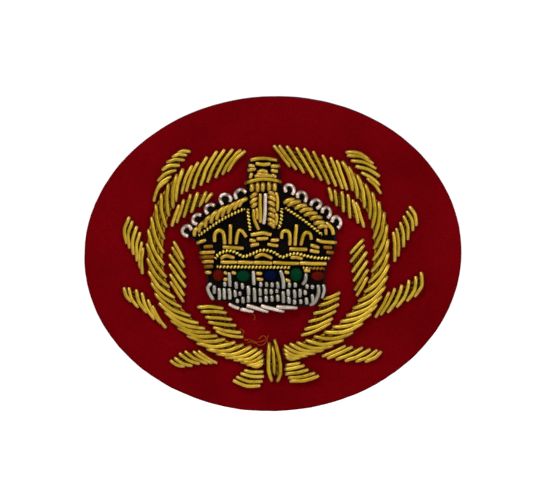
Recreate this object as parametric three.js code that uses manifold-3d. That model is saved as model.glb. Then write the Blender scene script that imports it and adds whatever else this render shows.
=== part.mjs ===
// Hand-embroidered cap badge: a crown inside a laurel wreath, worked in metal purl on an oval of felt.
// Millimetres. +Z runs to the top of the badge, +X to the viewer's right, and the badge faces -Y.
// The origin is the centre of the flat back, which lies in the plane y = 0.
// Points on the face are [x, z] pairs, and heights are distances in front of the back.

import * as THREE from "three";
import { mergeVertices } from "three/addons/utils/BufferGeometryUtils.js";
import Module from "manifold-3d";

const wasm = await Module();
wasm.setup();

// Driving dimensions
const BADGE_WIDTH = 72;
const BADGE_HEIGHT = 60;
const OVAL_SIDES = 60;
const BACKING_THICKNESS = 0.6;
const BACKING_MARGIN = 0.25;
const BACKING_SHIFT = [0.12, 0.3];
const STIFFENER_THICKNESS = 0.6;
const STIFFENER_MARGIN = 1.6;
const FELT_THICKNESS = 1.4;
const CROWN_PADDING_THICKNESS = 0.8;
const VELVET_THICKNESS = 0.4;
const VELVET_SKIRT = 0.5;
const PADDING_EASE = 0.35;
const PURL = 0.72;
const PURL_CREST = 0.36;
const PURL_HEIGHT = 0.9;
const CROWN_PURL_HEIGHT = 0.8;
const CHECK_PURL = 0.6;
const STRING_HEIGHT = 0.3;
const STITCH_PLATE = 0.2;
const HAND = 0.1;
const HEAD_RHYTHM = 2.3;
const TAIL_RHYTHM = 3.1;

// Steps of the smooth curves
const TIE_STEPS = 4;
const EDGING_STEPS = 4;
const FLEUR_STEPS = 6;
const PEARL_STEPS = 7;
const WAVE_STEPS = 30;

// Heights of the layers, counted from the back
const STIFFENER_LEVEL = BACKING_THICKNESS;
const FELT_LEVEL = STIFFENER_LEVEL + STIFFENER_THICKNESS;
const FACE = FELT_LEVEL + FELT_THICKNESS;
const VELVET_UNDERSIDE = FACE + CROWN_PADDING_THICKNESS;
const CROWN_FACE = VELVET_UNDERSIDE + VELVET_THICKNESS;
const JEWEL_TOP = CROWN_FACE + 1.0;

const finish = (color, roughness, metalness) =>
  new THREE.MeshStandardMaterial({ color, roughness, metalness });
const FELT = () => finish(0x6e0307, 0.95, 0);
const BLACK_CLOTH = () => finish(0x0a0608, 0.95, 0);
const CARD = () => finish(0xb9ae98, 0.9, 0);
const GOLD = () => finish(0xc8a53c, 0.35, 0.9);
const SILVER = () => finish(0xdcd2c8, 0.35, 0.9);
const silk = (color) => () => finish(color, 0.45, 0);

// ---------------------------------------------------------------- solids and curves

const vectors = (points) => points.map(([x, z]) => new THREE.Vector2(x, z));

const smooth = (points, steps) => new THREE.SplineCurve(vectors(points)).getPoints(steps);

function ring(points, count) {
  const curve = new THREE.CatmullRomCurve3(
    points.map(([x, z]) => new THREE.Vector3(x, z, 0)), true, "centripetal");
  return curve.getSpacedPoints(count).slice(0, count).map((p) => [p.x, p.y]);
}

// A closed outline drawn clockwise, moved inward by a distance
function inset(outline, distance) {
  const count = outline.length;
  return outline.map(([x, z], i) => {
    const [x0, z0] = outline[(i + count - 1) % count];
    const [x1, z1] = outline[(i + 1) % count];
    const along = new THREE.Vector2(x1 - x0, z1 - z0).normalize();
    return [x + along.y * distance, z - along.x * distance];
  });
}

// An outline drawn on the face, made solid between two heights
function prism(outline, low, high) {
  const geometry = new THREE.ExtrudeGeometry(new THREE.Shape(vectors(outline)), {
    depth: high - low, bevelEnabled: false });
  geometry.rotateX(Math.PI / 2);
  geometry.translate(0, -low, 0);
  return geometry;
}

// Directions across a path, mitred at its bends
function acrossPath(path) {
  return path.map((point, i) => {
    const before = path[Math.max(i - 1, 0)];
    const after = path[Math.min(i + 1, path.length - 1)];
    const arrive = point.clone().sub(i ? before : point).normalize();
    const leave = (i < path.length - 1 ? after.clone().sub(point) : arrive.clone()).normalize();
    const along = i ? arrive.clone().add(leave).normalize() : leave;
    const stretch = 1 / Math.max(along.dot(leave), 0.5);
    return new THREE.Vector2(-along.y, along.x).multiplyScalar(stretch);
  });
}

// One purl: a bar that narrows to its crest, laid along a path on the face
function purl(path, low, high, foot = PURL, crest = PURL_CREST) {
  const across = acrossPath(path);
  const corners = [[foot / 2, low], [crest / 2, high], [-crest / 2, high], [-foot / 2, low]];
  const positions = path.flatMap((point, i) => corners.flatMap(([side, height]) =>
    [point.x + across[i].x * side, -height, point.y + across[i].y * side]));
  const triangles = [0, 3, 2, 0, 2, 1];
  for (let i = 0; i < path.length - 1; i++) {
    for (let j = 0; j < 4; j++) {
      const p = 4 * i + j;
      const q = 4 * i + (j + 1) % 4;
      triangles.push(p, q, p + 4, q, q + 4, p + 4);
    }
  }
  const last = 4 * (path.length - 1);
  triangles.push(last, last + 1, last + 2, last, last + 2, last + 3);
  const geometry = new THREE.BufferGeometry();
  geometry.setAttribute("position", new THREE.Float32BufferAttribute(positions, 3));
  geometry.setIndex(triangles);
  return geometry;
}

function solid(geometry) {
  const bare = new THREE.BufferGeometry();
  bare.setAttribute("position", geometry.getAttribute("position"));
  bare.setIndex(geometry.getIndex());
  const merged = mergeVertices(bare, 1e-5);
  return new wasm.Manifold(new wasm.Mesh({
    numProp: 3,
    vertProperties: Float32Array.from(merged.getAttribute("position").array),
    triVerts: Uint32Array.from(merged.getIndex().array),
  }));
}

const joined = (geometries) => geometries.map(solid).reduce((sum, piece) => sum.add(piece));

function meshOf(name, body, material) {
  const { vertProperties, triVerts } = body.getMesh();
  const geometry = new THREE.BufferGeometry();
  geometry.setAttribute("position", new THREE.Float32BufferAttribute(vertProperties, 3));
  geometry.setIndex(Array.from(triVerts));
  geometry.computeVertexNormals();
  const mesh = new THREE.Mesh(geometry, material);
  mesh.name = name;
  return mesh;
}

// ---------------------------------------------------------------- purls and ladders of purls

// A path through points; more than two are joined by a smooth curve of the given number of steps
const route = (points, steps = points.length - 1) =>
  (points.length === 2 ? vectors(points) : smooth(points, steps));

// A ladder is a row of purls laid side by side between two edges, each a smooth curve through points
// that stand at even steps of the count. A purl bows sideways by a share of its length, which runs
// from the first purl's share to the last's. The embroiderer's hand varies the ends a little.
function ladder({ heads, tails, count, bow, hand = HAND }) {
  const starts = smooth(heads, count - 1);
  const ends = smooth(tails, count - 1);
  return starts.map((start, i) => {
    const along = ends[i].clone().sub(start);
    const unit = along.clone().normalize();
    const from = start.clone().addScaledVector(unit, hand * Math.sin(HEAD_RHYTHM * i + heads[0][0]));
    const to = ends[i].clone().addScaledVector(unit, hand * Math.sin(TAIL_RHYTHM * i + tails[0][1]));
    if (!bow) return [from, to];
    const share = THREE.MathUtils.lerp(bow[0], bow[1], i / (count - 1));
    const middle = from.clone().lerp(to, 0.5)
      .add(new THREE.Vector2(-along.y, along.x).multiplyScalar(share));
    return [from, middle, to];
  });
}

// The flat plate that the purls of a ladder are stitched over, from one share of their length to another
function plateUnder(rungs, near = 0.18, far = 0.82) {
  const side = (share) => rungs.map((path) => {
    const point = path[0].clone().lerp(path[path.length - 1], share);
    if (path.length === 3) point.lerp(path[1], 1 - Math.abs(2 * share - 1));
    return [point.x, point.y];
  });
  return [...side(near), ...side(far).reverse()];
}

const laid = (paths, low, height, foot, crest) =>
  paths.map((path) => purl(path, low, low + height, foot, crest));

function ladderNode(name, material, rungs, low, height, plateHeight) {
  const plate = prism(plateUnder(rungs), low, low + plateHeight);
  return meshOf(name, joined([plate, ...laid(rungs, low, height)]), material());
}

// Purls of the crown over thin stitched plates that hold them together as one piece
function crownNode(name, material, { rungs = [], checks = [], plates = [] }) {
  const pieces = [
    ...plates.map((outline) => prism(outline, CROWN_FACE, CROWN_FACE + STITCH_PLATE)),
    ...laid(rungs, CROWN_FACE, CROWN_PURL_HEIGHT),
    ...laid(checks, CROWN_FACE, CROWN_PURL_HEIGHT, CHECK_PURL, PURL_CREST),
  ];
  return meshOf(name, joined(pieces), material());
}

// ---------------------------------------------------------------- cloth layers

function oval(width, height, [x, z] = [0, 0]) {
  return Array.from({ length: OVAL_SIDES }, (_, i) => {
    const turn = (2 * Math.PI * i) / OVAL_SIDES;
    return [x + (width / 2) * Math.cos(turn), z + (height / 2) * Math.sin(turn)];
  });
}

function clothLayers() {
  const backing = prism(
    oval(BADGE_WIDTH - 2 * BACKING_MARGIN, BADGE_HEIGHT - 2 * BACKING_MARGIN, BACKING_SHIFT),
    0, STIFFENER_LEVEL);
  const stiffener = prism(
    oval(BADGE_WIDTH - 2 * STIFFENER_MARGIN, BADGE_HEIGHT - 2 * STIFFENER_MARGIN),
    STIFFENER_LEVEL, FELT_LEVEL);
  const felt = prism(oval(BADGE_WIDTH, BADGE_HEIGHT), FELT_LEVEL, FACE);
  return [
    meshOf("backing_cloth", solid(backing), BLACK_CLOTH()),
    meshOf("stiffener", solid(stiffener), CARD()),
    meshOf("ground_cloth", solid(felt), FELT()),
  ];
}

// ---------------------------------------------------------------- wreath

// Leaves: the two edges of each ladder at its first, middle and last purl
const LEAVES = {
  leaf_top_left: { count: 8, bow: [-0.05, -0.05],
    heads: [[-4.4, 19.9], [-9.1, 20.2], [-14.7, 17.4]],
    tails: [[-8.0, 16.2], [-12.5, 14.0], [-16.9, 12.3]] },
  leaf_outer_top_left: { count: 7, bow: [0.1, 0.13],
    heads: [[-17.4, 20.0], [-20.4, 16.9], [-22.2, 11.0]],
    tails: [[-15.1, 20.2], [-17.0, 17.7], [-19.4, 14.9]] },
  leaf_inner_top_left: { count: 6,
    heads: [[-17.4, 10.2], [-14.5, 12.3], [-11.1, 12.1]],
    tails: [[-19.0, 6.2], [-15.9, 8.2], [-12.4, 10.5]] },
  leaf_outer_middle_left: { count: 6, bow: [-0.13, -0.05],
    heads: [[-27.0, 8.1], [-25.3, 5.8], [-24.6, 2.2]],
    tails: [[-27.7, 3.2], [-26.1, 0.5], [-24.9, -2.6]] },
  leaf_inner_middle_left: { count: 6,
    heads: [[-18.7, 3.2], [-19.7, -0.1], [-19.6, -4.5]],
    tails: [[-17.1, -0.2], [-16.9, -4.6], [-17.4, -8.2]] },
  leaf_outer_lower_left: { count: 6, bow: [-0.12, -0.05],
    heads: [[-28.5, -5.2], [-25.75, -5.9], [-23.3, -8.8]],
    tails: [[-27.3, -7.9], [-23.7, -10.7], [-21.0, -13.0]] },
  leaf_inner_lower_left: { count: 6, bow: [0.05, -0.06],
    heads: [[-14.6, -9.5], [-13.0, -11.9], [-11.4, -14.1]],
    tails: [[-10.0, -9.8], [-8.0, -12.6], [-6.3, -15.5]] },
  leaf_outer_bottom_left: { count: 6, bow: [-0.1, -0.03],
    heads: [[-20.2, -19.5], [-18.0, -17.9], [-14.9, -17.9]],
    tails: [[-17.6, -20.6], [-14.1, -20.2], [-11.6, -20.2]] },
  leaf_bottom_left: { count: 4, bow: [-0.1, -0.05],
    heads: [[-8.4, -23.7], [-7.5, -22.7], [-6.2, -21.9]],
    tails: [[-3.5, -24.9], [-2.8, -23.6], [-2.7, -22.2]] },
  leaf_top_right: { count: 9,
    heads: [[1.0, 20.7], [6.8, 19.8], [12.8, 17.4]],
    tails: [[3.9, 16.6], [9.8, 13.7], [14.6, 11.7]] },
  leaf_outer_top_right: { count: 6, bow: [0.13, 0.05],
    heads: [[14.6, 18.9], [15.9, 16.7], [18.4, 13.8]],
    tails: [[19.1, 17.2], [20.5, 14.9], [20.9, 10.9]] },
  leaf_inner_top_right: { count: 6,
    heads: [[11.2, 12.1], [14.2, 11.1], [16.2, 9.2]],
    tails: [[11.6, 9.8], [14.3, 7.0], [17.5, 4.6]] },
  leaf_outer_middle_right: { count: 6, bow: [0.02, 0.13],
    heads: [[23.1, 3.2], [24.8, 5.7], [26.3, 8.0]],
    tails: [[23.1, -2.3], [25.3, 1.2], [27.4, 4.5]] },
  leaf_inner_middle_right: { count: 6,
    heads: [[14.7, -0.4], [15.0, -4.8], [15.6, -8.5]],
    tails: [[17.2, 2.1], [17.9, -1.1], [17.8, -5.0]] },
  leaf_outer_lower_right: { count: 6, bow: [-0.02, -0.15],
    heads: [[19.0, -12.7], [22.2, -11.4], [26.7, -9.0]],
    tails: [[21.9, -8.0], [25.0, -6.4], [28.0, -4.7]] },
  leaf_inner_lower_right: { count: 6, bow: [0.05, 0.05],
    heads: [[12.4, -7.8], [11.85, -10.6], [10.3, -13.5]],
    tails: [[9.3, -8.8], [6.8, -12.3], [4.9, -15.6]] },
  leaf_outer_bottom_right: { count: 6, bow: [-0.01, -0.08],
    heads: [[8.6, -19.8], [12.0, -20.6], [16.7, -21.1]],
    tails: [[13.0, -18.0], [17.1, -18.6], [19.9, -19.3]] },
  leaf_bottom_right: { count: 5, bow: [-0.01, -0.06],
    heads: [[1.5, -21.2], [1.5, -22.8], [2.4, -24.2]],
    tails: [[4.3, -20.8], [5.9, -22.2], [7.8, -23.5]] },
};

// Stems: long purls laid slantwise from the outer edge down to the inner edge, like a rope.
// Their edges are given at every third purl.
const STEMS = {
  stem_left: { count: 25, bow: [-0.05, -0.13], hand: 0.05,
    heads: [[-16.4, 16.9], [-20.7, 12.3], [-23.4, 5.6], [-23.7, -2.3], [-21.9, -8.4],
      [-18.5, -13.2], [-13.2, -17.5], [-8.2, -19.7], [-5.0, -21.0]],
    tails: [[-18.1, 10.9], [-20.1, 6.2], [-20.85, -1.2], [-19.2, -7.4], [-14.8, -12.5],
      [-11.4, -15.1], [-6.4, -17.0], [-2.9, -18.3], [-2.6, -20.5]] },
  stem_right: { count: 25, bow: [0.05, 0.13], hand: 0.05,
    heads: [[13.9, 17.1], [18.1, 12.6], [21.4, 7.1], [22.0, -0.6], [21.0, -7.0],
      [18.1, -12.0], [12.6, -16.8], [7.2, -19.0], [3.7, -19.9]],
    tails: [[15.7, 11.6], [18.7, 6.2], [19.3, 0.4], [18.1, -6.1], [14.9, -10.9],
      [11.0, -14.3], [5.6, -16.6], [1.6, -17.5], [1.6, -19.5]] },
};

// The tie: upright purls that bind the two stems together at the foot of the wreath
const TIE_PURLS = [
  [[-1.4, -16.9], [-1.6, -19.8], [-1.65, -22.0], [-1.15, -24.0]],
  [[-0.75, -17.5], [-0.6, -22.8]],
  [[-0.3, -16.3], [0.45, -20.1], [0.5, -22.5], [-0.1, -24.1]],
];
const TIE_PLATE = [[-1.6, -18.2], [0.1, -18.2], [0.3, -22.6], [-1.6, -22.6]];

function wreath() {
  const rows = Object.entries({ ...STEMS, ...LEAVES }).map(([name, shape]) =>
    ladderNode(name, GOLD, ladder(shape), FACE, PURL_HEIGHT, STRING_HEIGHT));
  const tie = joined([prism(TIE_PLATE, FACE, FACE + STRING_HEIGHT),
    ...laid(TIE_PURLS.map((points) => route(points, TIE_STEPS)), FACE, PURL_HEIGHT)]);
  return [...rows, meshOf("wreath_tie", tie, GOLD())];
}

// ---------------------------------------------------------------- crown: padding and velvet

const CROWN_SIDES = 72;
const CROWN_OUTLINE = [
  [-3.7, 18.3], [1.4, 18.0], [1.9, 16.9], [1.9, 15.6], [1.7, 14.4], [1.8, 13.2], [2.6, 12.7],
  [3.9, 12.9], [5.0, 12.2], [6.1, 11.2], [7.6, 10.3], [9.1, 9.6], [10.9, 8.1], [12.7, 6.1],
  [13.0, 4.9], [12.2, 3.6], [12.2, 2.2], [11.9, 0.7], [11.4, -0.6], [10.6, -1.6], [10.1, -2.8],
  [9.8, -4.0], [9.6, -5.1], [9.75, -6.2], [9.75, -7.4], [9.1, -8.7], [7.9, -9.8], [6.4, -10.1],
  [4.0, -10.2], [1.6, -10.7], [-1.4, -10.7], [-4.3, -10.4], [-6.6, -9.9], [-8.3, -9.0],
  [-10.4, -8.4], [-12.0, -8.3], [-12.7, -6.8], [-12.95, -5.7], [-12.6, -4.6], [-13.0, -3.4],
  [-13.2, -2.2], [-13.6, -0.6], [-13.9, 1.2], [-14.4, 2.8], [-15.4, 3.8], [-16.6, 4.5],
  [-16.5, 5.8], [-15.2, 7.0], [-13.9, 8.1], [-12.3, 9.2], [-10.6, 10.2], [-8.7, 11.2],
  [-7.0, 11.9], [-5.2, 12.2], [-4.4, 13.1], [-4.2, 14.6], [-4.3, 16.6]];

function crownGround() {
  const outline = ring(CROWN_OUTLINE, CROWN_SIDES);
  const pocket = inset(outline, VELVET_SKIRT);
  const padding = inset(outline, VELVET_SKIRT + PADDING_EASE);
  const velvet = solid(prism(outline, FACE, CROWN_FACE))
    .subtract(solid(prism(pocket, FELT_LEVEL, VELVET_UNDERSIDE)));
  return [
    meshOf("crown_padding", solid(prism(padding, FACE, VELVET_UNDERSIDE)), CARD()),
    meshOf("crown_cap", velvet, BLACK_CLOTH()),
  ];
}

// ---------------------------------------------------------------- crown: cross, monde and arches

const CROSS_PURLS = [
  [[-3.5, 18.1], [-1.1, 18.3], [1.4, 17.8]],
  [[-2.5, 17.4], [-1.1, 17.15], [0.1, 17.2]],
  [[-3.8, 17.0], [-2.9, 16.9]],
  [[-4.0, 16.2], [-2.7, 16.4]],
  [[0.4, 16.75], [1.8, 16.75]],
  [[0.4, 16.0], [1.4, 15.75]],
];
const CROSS_PLATE = [[-3.4, 17.9], [0.9, 17.8], [1.1, 16.0], [-0.4, 16.4], [-3.0, 16.2]];

const MONDE_PURLS = [
  [[-4.7, 13.75], [-3.2, 14.15], [-1.2, 14.35], [0.7, 14.15], [2.0, 13.75]],
  [[-2.8, 14.95], [-1.0, 15.0], [0.6, 14.9]],
  [[-3.7, 14.75], [-3.4, 15.5]],
  [[-2.2, 15.7], [-1.35, 15.95], [-0.5, 15.7]],
  [[-2.4, 15.3], [-0.4, 15.3]],
  [[1.1, 14.7], [0.6, 15.1]],
];
const MONDE_PLATE = [[-3.7, 14.2], [-3.5, 15.2], [-1.4, 15.8], [0.8, 15.0], [1.1, 14.2], [-1.2, 14.1]];

// Short upright purls of the middle arches, just below the monde
const NECK = {
  left: { heads: [[-3.4, 13.35], [-1.35, 13.55]], tails: [[-3.5, 12.25], [-1.4, 12.25]], count: 3 },
  right: { heads: [[-0.2, 13.55], [0.9, 13.4]], tails: [[-0.25, 12.25], [0.8, 12.25]], count: 2 },
};

// Middle arches: chips of purl stacked down the crown between longer purls
const MIDDLE_ARCHES = {
  middle_arch_left: { neck: NECK.left,
    purls: [[[-1.95, 11.6], [-2.05, 8.9], [-2.1, 6.2]], [[-3.3, 8.7], [-3.25, 6.9], [-2.5, 4.9]],
      [[-2.7, 8.9], [-2.7, 6.9]]],
    chips: { heads: [[-2.75, 11.7], [-2.75, 9.9]], tails: [[-3.7, 11.0], [-3.6, 9.2]], count: 3 },
    plate: [[-3.4, 13.0], [-1.4, 13.0], [-1.9, 9.5], [-2.1, 6.4], [-2.9, 5.4], [-3.3, 9.2]] },
  middle_arch_right: { neck: NECK.right,
    purls: [[[1.1, 11.7], [1.25, 10.2], [1.1, 8.3]], [[0.95, 7.7], [1.0, 6.7], [0.8, 5.7]]],
    chips: { heads: [[-0.2, 11.8], [-0.3, 8.8], [-0.5, 6.0]],
      tails: [[0.7, 11.2], [0.6, 8.1], [0.5, 5.2]], count: 7, bow: [0.15, 0.15] },
    plate: [[-0.1, 13.0], [0.9, 13.0], [1.1, 8.0], [0.8, 5.9], [0.1, 5.6], [-0.1, 11.0]] },
};
const MIDDLE_PEARLS = [[-0.95, 11.6], [-1.1, 8.8], [-1.5, 5.9]];

// Side arches: a rope of purls between the open pearls above and the check purl below
const SIDE_ARCHES = {
  arch_left: {
    rope: { count: 9, bow: [-0.12, -0.2], heads: [[-4.5, 10.9], [-7.2, 9.8], [-10.5, 8.4], [-13.9, 5.7]],
      tails: [[-6.1, 9.5], [-9.0, 7.9], [-11.8, 6.4], [-14.7, 4.3]] } },
  arch_right: {
    rope: { count: 8, bow: [0.08, 0.12], heads: [[2.5, 9.8], [4.9, 8.4], [7.0, 6.8], [8.9, 4.9]],
      tails: [[4.4, 10.3], [7.0, 8.8], [9.1, 6.9], [10.4, 4.9]] },
    ends: [[[10.3, 5.6], [11.3, 4.6], [11.6, 3.4]], [[10.2, 4.6], [10.2, 3.5]]] },
};

// Lines of check purl that edge the velvet: one along the side arch and one down the middle arch
const EDGINGS = {
  edging_left: {
    checks: [[[-13.9, 4.2], [-9.4, 7.05], [-5.0, 8.95]], [[-4.4, 8.85], [-4.3, 6.8], [-4.1, 4.8]]],
    plate: [[-5.9, 8.65], [-5.6, 8.95], [-4.4, 8.7], [-4.4, 8.0], [-4.8, 7.9]] },
  edging_right: {
    checks: [[[2.7, 8.75], [6.1, 6.3], [9.5, 3.4]], [[2.0, 8.7], [1.85, 6.6], [1.3, 4.9]]],
    plate: [[1.9, 8.0], [2.1, 8.6], [3.0, 8.7], [3.3, 8.1], [2.2, 7.8]] },
};

// Open pearls: short silver purls bent round into loops that stand along the side arches
const PEARLS = {
  pearl_left_1: [[-4.55, 11.9], [-5.2, 12.45], [-6.1, 12.4], [-6.7, 11.7], [-6.5, 10.8]],
  pearl_left_2: [[-7.7, 10.3], [-7.6, 11.1], [-8.4, 11.75], [-9.3, 11.6], [-9.6, 10.8], [-9.1, 9.9]],
  pearl_left_3: [[-10.6, 9.7], [-11.4, 9.95], [-12.2, 9.6], [-12.4, 8.9], [-12.0, 8.2]],
  pearl_left_4: [[-13.2, 8.0], [-14.1, 8.15], [-14.8, 7.6], [-14.8, 6.7], [-14.1, 6.3]],
  pearl_left_5: [[-15.2, 5.3], [-15.6, 6.05], [-16.4, 6.0], [-17.0, 5.3], [-16.7, 4.5], [-15.9, 4.1]],
  pearl_right_1: [[2.95, 11.7], [2.75, 12.6], [3.4, 13.15], [4.2, 12.8], [4.45, 11.9], [4.1, 11.2]],
  pearl_right_2: [[5.1, 10.5], [5.1, 11.2], [5.8, 11.6], [6.5, 11.3], [6.7, 10.5], [6.4, 9.7]],
  pearl_right_3: [[7.5, 9.0], [7.9, 9.75], [8.7, 10.05], [9.4, 9.5], [9.2, 8.8], [8.6, 8.4]],
  pearl_right_4: [[9.7, 7.5], [9.8, 8.2], [10.5, 8.5], [11.1, 8.0], [11.1, 7.1], [10.6, 6.5]],
  pearl_right_5: [[11.35, 5.7], [11.7, 6.5], [12.4, 6.7], [13.0, 6.1], [13.0, 5.2], [12.4, 4.5]],
};

function crownTop() {
  const middle = Object.entries(MIDDLE_ARCHES).map(([name, { neck, purls, chips, plate }]) =>
    crownNode(name, GOLD, { plates: [plate],
      rungs: [...ladder(neck), ...purls.map((points) => route(points)), ...ladder(chips)] }));
  const sides = Object.entries(SIDE_ARCHES).map(([name, { rope, ends = [] }]) => {
    const rungs = ladder(rope);
    return crownNode(name, GOLD, { plates: [plateUnder(rungs)],
      rungs: [...rungs, ...ends.map((points) => route(points))] });
  });
  const edgings = Object.entries(EDGINGS).map(([name, { checks, plate }]) =>
    crownNode(name, GOLD, { checks: checks.map((points) => route(points, EDGING_STEPS)), plates: [plate] }));
  const pearls = Object.entries(PEARLS).map(([name, points]) =>
    crownNode(name, SILVER, { rungs: [route(points, PEARL_STEPS)] }));
  return [
    crownNode("top_cross", GOLD, {
      rungs: CROSS_PURLS.map((points) => route(points)), plates: [CROSS_PLATE] }),
    crownNode("monde", GOLD, {
      rungs: MONDE_PURLS.map((points) => route(points)), plates: [MONDE_PLATE] }),
    crownNode("middle_pearls", SILVER, { rungs: [route(MIDDLE_PEARLS)] }),
    ...middle, ...sides, ...edgings, ...pearls,
  ];
}

// ---------------------------------------------------------------- crown: circlet

const FLEURS = {
  fleur_left: {
    purls: [[[-10.9, 2.9], [-10.8, 4.4], [-10.0, 5.05], [-9.2, 4.4], [-9.0, 2.4]],
      [[-7.8, 6.0], [-8.0, 2.4]],
      [[-4.9, 3.6], [-5.6, 4.7], [-6.3, 4.8], [-6.7, 3.6], [-6.85, 2.3]],
      [[-9.4, 1.85], [-5.6, 1.45]]],
    plate: [[-9.2, 2.9], [-6.7, 2.9], [-6.6, 1.5], [-9.1, 1.7]] },
  fleur_right: {
    purls: [[[1.75, 3.0], [1.9, 4.1], [2.6, 4.45], [3.3, 3.9], [3.25, 1.7]],
      [[4.7, 5.5], [4.25, 1.6]],
      [[7.4, 2.6], [7.2, 3.7], [6.4, 3.95], [5.8, 3.2], [5.35, 1.6]],
      [[3.2, 0.95], [6.5, 0.75]]],
    plate: [[3.2, 2.1], [5.5, 2.1], [5.6, 0.8], [3.4, 0.9]] },
};

const CENTRE_CROSS = {
  purls: [[[-4.0, 3.95], [-1.8, 4.2], [-0.2, 3.85]], [[-2.9, 3.15], [-0.9, 3.15]],
    [[-4.2, 2.95], [-3.3, 2.75]], [[-4.1, 1.85], [-2.7, 2.1]],
    [[-0.2, 2.75], [1.1, 2.75]], [[-0.9, 2.0], [1.0, 1.65]]],
  plate: [[-3.7, 3.9], [-0.5, 3.9], [0.6, 2.7], [0.5, 1.9], [-3.8, 2.0]] };

const HALF_CROSSES = {
  half_cross_left: {
    purls: [[[-14.2, 2.8], [-12.7, 3.3]], [[-13.0, 2.0], [-11.4, 2.1]], [[-13.7, 0.9], [-11.1, 1.0]],
      [[-13.7, 0.05], [-11.2, 0.1]], [[-13.3, -0.85], [-11.4, -0.8]], [[-13.0, -1.75], [-11.5, -1.7]],
      [[-12.8, -2.8], [-12.0, -2.85]]],
    plate: [[-13.3, 3.0], [-12.0, 2.5], [-11.9, 0.0], [-12.3, -2.7], [-12.7, -2.8], [-13.2, 0.0]] },
  half_cross_right: {
    purls: [[[8.4, 2.5], [9.8, 2.05], [12.0, 1.85]], [[9.7, 1.05], [11.2, 0.9]],
      [[7.3, 1.55], [8.7, 1.0]], [[7.1, 0.5], [8.7, 0.2]], [[10.2, 0.1], [11.4, -0.1]]],
    plate: [[8.2, 2.2], [11.4, 1.9], [10.8, 0.0], [7.8, 0.3], [7.8, 1.4]] },
};

const WAVE = {
  checks: [[[-10.9, -0.3], [-10.2, 0.6], [-8.6, 1.1], [-7.2, 0.8], [-5.6, -0.1], [-4.3, 0.2],
    [-2.1, 0.95], [0.0, 0.55], [1.65, -0.5], [2.9, -0.15], [4.5, 0.05], [6.2, -0.45], [8.4, -0.95],
    [10.6, -1.05]]],
  arcs: [[[-9.9, -0.3], [-8.8, 0.15], [-7.4, -0.25]], [[-3.4, -0.4], [-1.9, 0.1], [-0.2, -0.65]],
    [[3.4, -0.7], [4.4, -0.65], [5.5, -0.95]]],
  plate: [[-10.2, 0.3], [-8.2, 0.9], [-6.4, 0.15], [-5.3, -0.3], [-2.1, 0.9], [0.0, 0.45], [1.6, -0.5],
    [4.5, 0.0], [6.2, -0.5], [5.6, -0.9], [1.4, -0.8], [-5.2, -0.6], [-9.8, -0.4]] };

// The bar of the circlet is five butted lengths of purl, and it drops a little to the right
const BAR = { left: [-9.9, -1.0], right: [10.0, -2.1], joints: [0.155, 0.305, 0.49, 0.745], gap: 0.22,
  plate: [[-9.6, -0.85], [9.7, -1.95], [9.7, -2.25], [-9.6, -1.15]] };

function barPurls({ left, right, joints, gap }) {
  const start = new THREE.Vector2(...left);
  const run = new THREE.Vector2(...right).sub(start);
  const half = gap / 2 / run.length();
  const cuts = [0, ...joints, 1];
  return cuts.slice(1).map((end, i) => [
    start.clone().addScaledVector(run, cuts[i] + (i ? half : 0)),
    start.clone().addScaledVector(run, end - (end < 1 ? half : 0)),
  ]);
}

// Band of the circlet: a row of check purl, then upright silver purls and level gold chips
const BAND = {
  checks: [[[-10.7, -1.85], [3.2, -2.55]], [[5.6, -2.75], [9.6, -3.0]]],
  dividers: [[[-8.4, -3.1], [-8.35, -5.6]], [[-3.8, -3.0], [-3.85, -5.5]],
    [[1.35, -3.1], [1.7, -4.8], [1.8, -6.4]], [[6.1, -3.9], [5.9, -5.1], [5.4, -5.8]]],
  chips: [[[-9.3, -3.0], [-8.9, -3.2]], [[-9.4, -4.3], [-8.9, -4.3]], [[-7.8, -3.05], [-7.3, -3.2]],
    [[-3.2, -3.4], [-2.35, -3.45]], [[-3.2, -4.5], [-2.2, -4.65]], [[2.2, -3.4], [2.8, -3.5]],
    [[2.3, -4.8], [2.9, -5.1]], [[5.9, -3.25], [6.8, -3.3]]],
  plate: [[-11.0, -1.9], [3.2, -2.6], [9.5, -3.05], [8.9, -5.2], [7.4, -6.45], [5.9, -6.3],
    [4.9, -5.7], [0.8, -5.6], [-7.2, -5.6], [-9.3, -5.45], [-11.2, -4.9]] };

// Upright purls, each given by its place across and the heights of its top and bottom
const uprights = (rows) => rows.map(([x, top, bottom]) => route([[x, top], [x, bottom]]));

const FIRST_ERMINE_ROW = [[-9.3, -4.9, -5.5], [-7.2, -5.0, -6.0], [-6.0, -5.3, -6.1], [-2.55, -5.2, -5.85],
  [-1.45, -5.3, -5.9], [-0.4, -5.4, -6.0], [0.7, -5.3, -6.3], [2.9, -5.5, -6.2], [4.0, -5.6, -6.2],
  [6.2, -6.0, -6.5], [7.2, -6.2, -6.6]];

const JEWELS = {
  jewel_red_left: { centre: [-10.5, -3.5], size: [2.2, 2.3], colour: 0x6e140f },
  jewel_green_left: { centre: [-5.8, -3.8], size: [2.6, 2.2], colour: 0x005032 },
  jewel_blue: { centre: [-0.6, -3.9], size: [2.6, 2.0], colour: 0x0a1450 },
  jewel_green_right: { centre: [4.25, -4.0], size: [2.4, 2.6], colour: 0x005032 },
  jewel_red_right: { centre: [8.3, -4.35], size: [2.5, 1.9], colour: 0x6e140f },
};
const JEWEL_SIDES = 14;
const JEWEL_CREST = 0.62;

function jewel(name, { centre: [x, z], size: [width, height], colour }) {
  const low = CROWN_FACE + STITCH_PLATE;
  const geometry = new THREE.CylinderGeometry(JEWEL_CREST, 1, 1, JEWEL_SIDES, 1);
  geometry.translate(0, 0.5, 0);
  geometry.scale(width / 2, JEWEL_TOP - low, height / 2);
  geometry.rotateZ(Math.PI);
  geometry.translate(x, -low, z);
  return meshOf(name, solid(geometry), silk(colour)());
}

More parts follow.
